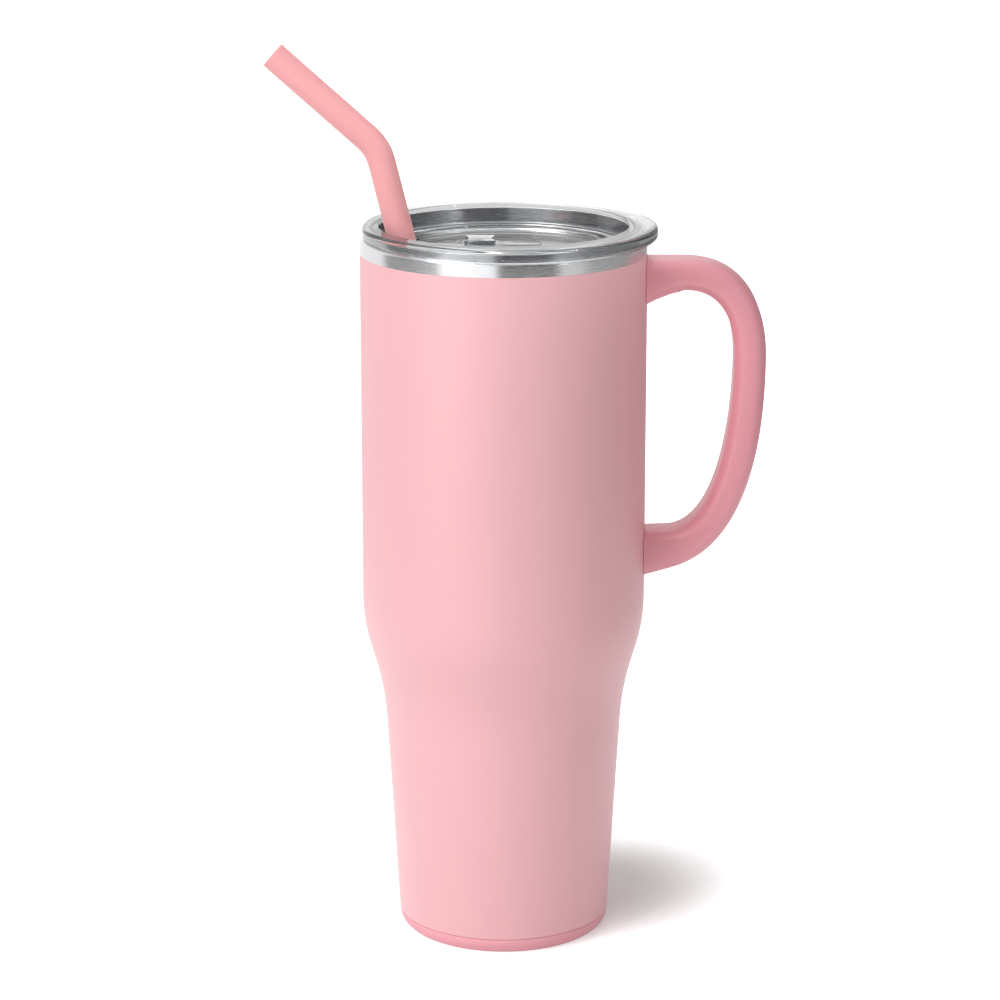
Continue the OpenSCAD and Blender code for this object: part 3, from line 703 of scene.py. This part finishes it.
sliderShape = {
    "left": -27.3, "right": 13.3, "width": 17.0, "low": 251.7, "plate": 253.3, "bevel": 0.6,
    "thumbMid": -8.3, "thumbLength": 10.9, "thumbWidth": 13.0, "thumbTop": 255.4, "thumbBevel": 0.45,
    "thumbSink": 0.8, "hollowRound": 12.0, "hollow": 1.1,
    "stemLow": 248.8, "stemLength": 6.0, "stemWidth": 5.4, "stemMid": -7.0, "stemSink": 0.4,
}


# Picks the edges that lie at height z or over it
def edgesFrom(z):
    return lambda a, b: a.z > z - 0.01 and b.z > z - 0.01


# A plate with a thumb block, whose two sides are hollowed for a finger, and the stem of the keeper
def makeSlider():
    s = sliderShape
    plate = stadiumOutline(s["left"], s["right"], s["width"], 40)
    piece = raiseOutline("sliderPlate", plate, s["low"], s["plate"])
    bevelEdges(piece, edgesFrom(s["plate"]), s["bevel"], 3)
    reach = math.degrees(math.acos(1 - s["hollow"] / s["hollowRound"]))
    turns = [math.radians(reach * i / 10) for i in range(-10, 11)]
    arc = [(s["hollowRound"] * math.cos(turn) - s["hollowRound"] + s["hollow"], s["hollowRound"] * math.sin(turn))
           for turn in turns]
    half = s["thumbWidth"] / 2
    left, right = s["thumbMid"] - s["thumbLength"] / 2, s["thumbMid"] + s["thumbLength"] / 2
    outline = [(right, -half)] + [(right - x, y) for x, y in arc] + [(right, half)]
    outline += [(left, half)] + [(left + x, -y) for x, y in arc] + [(left, -half)]
    thumb = raiseOutline("thumb", outline, s["plate"] - s["thumbSink"], s["thumbTop"])
    bevelEdges(thumb, edgesFrom(s["thumbTop"]), s["thumbBevel"], 3)
    joinShape(piece, thumb, "UNION")
    stemTop = s["low"] + s["stemSink"]
    clearSelection()
    bpy.ops.mesh.primitive_cube_add(size=mm, location=(s["stemMid"] * mm, 0, (s["stemLow"] + stemTop) / 2 * mm),
                                    scale=(s["stemLength"], s["stemWidth"], stemTop - s["stemLow"]))
    joinShape(piece, bpy.context.object, "UNION")
    cleanMesh(piece)
    smoothBy(piece, 28)
    settle(piece, "slide", "slider_clear", sliderClear, "slider")


makeSlider()
print("stage: slider made")


strawShape = {"radius": 4.9, "wall": 1.7, "lean": 13.9, "rise": 41.7, "cornerX": -43.985, "cornerZ": 287.3,
              "low": 24.93, "bend": 17.3, "bendSteps": 20, "mouth": 48.9, "endRound": 0.35, "sides": 64}


# A tube from its foot up a leaning leg, round the bend and out along the mouth leg, then given its wall
def makeStraw():
    s = strawShape
    lean, rise = math.radians(s["lean"]), math.radians(s["rise"])
    turn = math.pi / 2 - lean - rise
    tangent = s["bend"] * math.tan(turn / 2)
    along = Vector((-math.sin(lean), 0, math.cos(lean)))
    mouth = Vector((-math.cos(rise), 0, math.sin(rise)))
    corner = Vector((s["cornerX"], 0, s["cornerZ"]))
    length = (s["cornerZ"] - s["low"]) / math.cos(lean)
    foot = corner - along * length
    across = Vector((-math.cos(lean), 0, -math.sin(lean)))
    centre = corner - along * tangent + across * s["bend"]
    clearSelection()
    bpy.ops.mesh.primitive_circle_add(vertices=s["sides"], radius=s["radius"] * mm, location=foot * mm,
                                      rotation=(0, -lean, 0))
    piece = bpy.context.object
    piece.name = "strawTube"
    piece.data.name = "strawTube"
    bpy.ops.object.transform_apply(location=True, rotation=True, scale=True)
    openEdit(piece)
    bpy.ops.mesh.select_all(action="SELECT")
    bpy.ops.mesh.extrude_region_move(TRANSFORM_OT_translate={"value": along * (length - tangent) * mm})
    bpy.ops.mesh.spin(steps=s["bendSteps"], angle=turn, center=centre * mm, axis=(0, 1, 0))
    bpy.ops.mesh.extrude_region_move(TRANSFORM_OT_translate={"value": mouth * (s["mouth"] - tangent) * mm})
    closeEdit()
    cleanMesh(piece)
    applyModifier(piece, "SOLIDIFY", thickness=s["wall"] * mm, offset=-1, use_even_offset=True, use_rim=True)
    cleanMesh(piece)
    applyModifier(piece, "BEVEL", width=s["endRound"] * mm, segments=3, limit_method="ANGLE",
                  angle_limit=math.radians(60))
    smoothBy(piece, 40)
    settle(piece, "drinking_straw", "straw_silicone", strawSilicone, "straw")


makeStraw()
print("stage: straw made")


# Materials of the CAD nodes that stay as they are
keptFinishes = {"shell_bottom": bottomSteel, "getter": getterMetal, "vacuum_seal": sealingGlass,
                "upper_bracket": bracketSteel, "lower_bracket": bracketSteel, "handle_screws": screwSteel,
                "slider_keeper": sliderClear}
for nodeName, finish in keptFinishes.items():
    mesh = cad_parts[nodeName].data
    mesh.materials.clear()
    mesh.materials.append(finish)
print("stage: CAD nodes dressed")


# The floor's glow rises from liftNear to liftFar between liftStart and liftEnd away from a spot behind and right
# of the base; the dark patch left round that spot is a painted shadow over the real one
studio = {
    "worldForDiffuse": 0.46, "worldTint": (1.0, 0.965, 0.965, 1), "floorSeen": 0.92, "floorBounce": 0.66,
    "liftNear": 0.0, "liftFar": 1.0, "liftStart": 0.02, "liftEnd": 0.098, "shadowPatchCentre": (0.026, 0.036, 0),
}
# Places, sizes and aims in metres, power in watts, spread in degrees
lamps = {
    "keyLamp": {"place": (-1.42, -1.02, 2.6), "size": (1.6, 1.6), "power": 36.0, "aim": (0, 0, 0.14)},
    "sideLamp": {"place": (-1.36, -1.17, 0.5), "size": (0.9, 1.0), "power": 11.6, "aim": (0, 0, 0.1)},
    "fillLamp": {"place": (0.8, -1.8, 0.3), "size": (1.2, 0.5), "power": 4.0, "aim": (0, 0, 0.14)},
    "topLamp": {"place": (0.1, 0.9, 1.9), "size": (1.2, 1.2), "power": 4.0, "aim": (0, 0, 0.14)},
    "strawLamp": {"place": (0.3, -0.25, 0.5), "size": (0.06, 0.06), "power": 0.013, "aim": (-0.046, 0, 0.285),
                  "spread": 26},
}
# The levels give the brightness of the cards round the object from each angle on, in degrees,
# with 0 towards the camera and + to the right
cards = {
    "radius": 0.5, "height": 0.64, "seenThrough": 0.72,
    "levels": [(-180, 1.1), (-147, 1.06), (-108, 1.06), (-102, 0.36), (-52, 0.36), (-47, 1.24), (-7, 1.24),
               (-3, 0.09), (40, 0.09), (46, 0.6), (64, 0.6), (69, 0.38), (155, 0.38), (163, 1.1), (180, 1.1)],
}


def addLamp(name, values):
    clearSelection()
    bpy.ops.object.light_add(type="AREA", location=values["place"])
    lamp = bpy.context.object
    lamp.name = name
    lamp.data.shape = "RECTANGLE"
    lamp.data.size, lamp.data.size_y = values["size"]
    lamp.data.energy = values["power"]
    if "spread" in values:
        lamp.data.spread = math.radians(values["spread"])
    lamp.rotation_euler = (Vector(values["aim"]) - Vector(values["place"])).to_track_quat("-Z", "Y").to_euler()


# 1 for what the camera, a mirror or a clear piece sees, 0 for the light that falls on the object
def seenDirectly(nodes, links):
    path = nodes.new("ShaderNodeLightPath")
    total = addMath(nodes, links, "MAXIMUM", path.outputs["Is Camera Ray"], path.outputs["Is Glossy Ray"])
    return addMath(nodes, links, "MAXIMUM", total, path.outputs["Is Transmission Ray"])


def makeWorld():
    world = bpy.data.worlds.new("studioWorld")
    bpy.context.scene.world = world
    world.use_nodes = True
    nodes, links = world.node_tree.nodes, world.node_tree.links
    background = nodes["Background"]
    seen = seenDirectly(nodes, links)
    tint = nodes.new("ShaderNodeMix")
    tint.data_type = "RGBA"
    tint.inputs["A"].default_value = studio["worldTint"]
    tint.inputs["B"].default_value = (1, 1, 1, 1)
    links.new(seen, tint.inputs["Factor"])
    links.new(tint.outputs["Result"], background.inputs["Color"])
    diffuse = studio["worldForDiffuse"]
    strength = addMath(nodes, links, "MULTIPLY_ADD", seen, 1.0 - diffuse, diffuse)
    links.new(strength, background.inputs["Strength"])


# A pale floor that glows away from the object. The glow fades out towards a spot behind and right of the base, so
# the floor there is dark where the object's shadow falls: a painted shadow laid over the real one, which shapes it
def makeFloor():
    clearSelection()
    bpy.ops.mesh.primitive_plane_add(size=14, location=(0, 0, 0))
    floor = bpy.context.object
    floor.name = "studioFloor"
    openEdit(floor)
    bpy.ops.mesh.select_all(action="SELECT")
    bpy.ops.mesh.subdivide(number_cuts=3)
    bpy.ops.transform.translate(value=(0, 0, -0.05 * mm))
    closeEdit()
    material = bpy.data.materials.new("paleFloor")
    material.use_nodes = True
    nodes, links = material.node_tree.nodes, material.node_tree.links
    shader = nodes["Principled BSDF"]
    shader.inputs["Roughness"].default_value = 0.9
    shader.inputs["Specular IOR Level"].default_value = 0.0
    seen = seenDirectly(nodes, links)
    more = studio["floorSeen"] - studio["floorBounce"]
    paleness = addMath(nodes, links, "MULTIPLY_ADD", seen, more, studio["floorBounce"])
    links.new(paleness, shader.inputs["Base Color"])
    # The glow grows with the distance from the spot behind and right of the base, leaving a painted shadow patch
    # round it
    away = nodes.new("ShaderNodeVectorMath")
    away.operation = "DISTANCE"
    links.new(nodes.new("ShaderNodeTexCoord").outputs["Object"], away.inputs[0])
    away.inputs[1].default_value = studio["shadowPatchCentre"]
    rise = nodes.new("ShaderNodeMapRange")
    rise.interpolation_type = "SMOOTHSTEP"
    links.new(away.outputs["Value"], rise.inputs["Value"])
    rise.inputs["From Min"].default_value = studio["liftStart"]
    rise.inputs["From Max"].default_value = studio["liftEnd"]
    rise.inputs["To Min"].default_value = studio["liftNear"]
    rise.inputs["To Max"].default_value = studio["liftFar"]
    shader.inputs["Emission Color"].default_value = (1, 1, 1, 1)
    links.new(addMath(nodes, links, "MULTIPLY", seen, rise.outputs["Result"]), shader.inputs["Emission Strength"])
    floor.data.materials.append(material)


# Reflection cards that only shiny surfaces see, as the steel's bright and dark blocks
def makeCards():
    clearSelection()
    bpy.ops.mesh.primitive_cylinder_add(vertices=144, radius=cards["radius"], depth=cards["height"],
                                        end_fill_type="NOTHING", location=(0, 0, cards["height"] / 2))
    wall = bpy.context.object
    wall.name = "reflectionCards"
    wall.visible_camera = False
    wall.visible_diffuse = False
    wall.visible_shadow = False
    material = bpy.data.materials.new("cardLight")
    material.use_nodes = True
    nodes, links = material.node_tree.nodes, material.node_tree.links
    split = nodes.new("ShaderNodeSeparateXYZ")
    links.new(nodes.new("ShaderNodeTexCoord").outputs["Object"], split.inputs[0])
    toCamera = addMath(nodes, links, "MULTIPLY", split.outputs[1], -1.0)
    angle = addMath(nodes, links, "ARCTAN2", split.outputs[0], toCamera)
    turn = addMath(nodes, links, "MULTIPLY_ADD", angle, 0.5 / math.pi, 0.5)
    ramp = nodes.new("ShaderNodeValToRGB")
    links.new(turn, ramp.inputs["Fac"])
    stops, levels = ramp.color_ramp.elements, cards["levels"]
    for angleAt, level in levels[1:-1]:
        stop = stops.new(angleAt / 360 + 0.5)
        stop.color = (level, level, level, 1)
    for stop, level in ((stops[0], levels[0][1]), (stops[len(stops) - 1], levels[-1][1])):
        stop.color = (level, level, level, 1)
    light = nodes.new("ShaderNodeEmission")
    links.new(ramp.outputs["Color"], light.inputs["Color"])
    through = nodes.new("ShaderNodeLightPath").outputs["Is Transmission Ray"]
    strength = addMath(nodes, links, "MULTIPLY_ADD", through, cards["seenThrough"] - 1, 1.0)
    links.new(strength, light.inputs["Strength"])
    links.new(light.outputs[0], nodes["Material Output"].inputs["Surface"])
    wall.data.materials.append(material)


def makeCamera():
    view = {"place": (-0.00128, -1.2, 0.4689), "pitch": 14.44, "lens": 124.14}
    clearSelection()
    bpy.ops.object.camera_add(location=view["place"], rotation=(math.radians(90 - view["pitch"]), 0, 0))
    camera = bpy.context.object
    camera.name = "photoCamera"
    camera.data.sensor_width = 36
    camera.data.lens = view["lens"]
    bpy.context.scene.camera = camera


makeWorld()
makeFloor()
makeCards()
for lampName, lampValues in lamps.items():
    addLamp(lampName, lampValues)
makeCamera()
bpy.context.scene.view_settings.view_transform = "Standard"
clearSelection()
print("stage: studio ready")
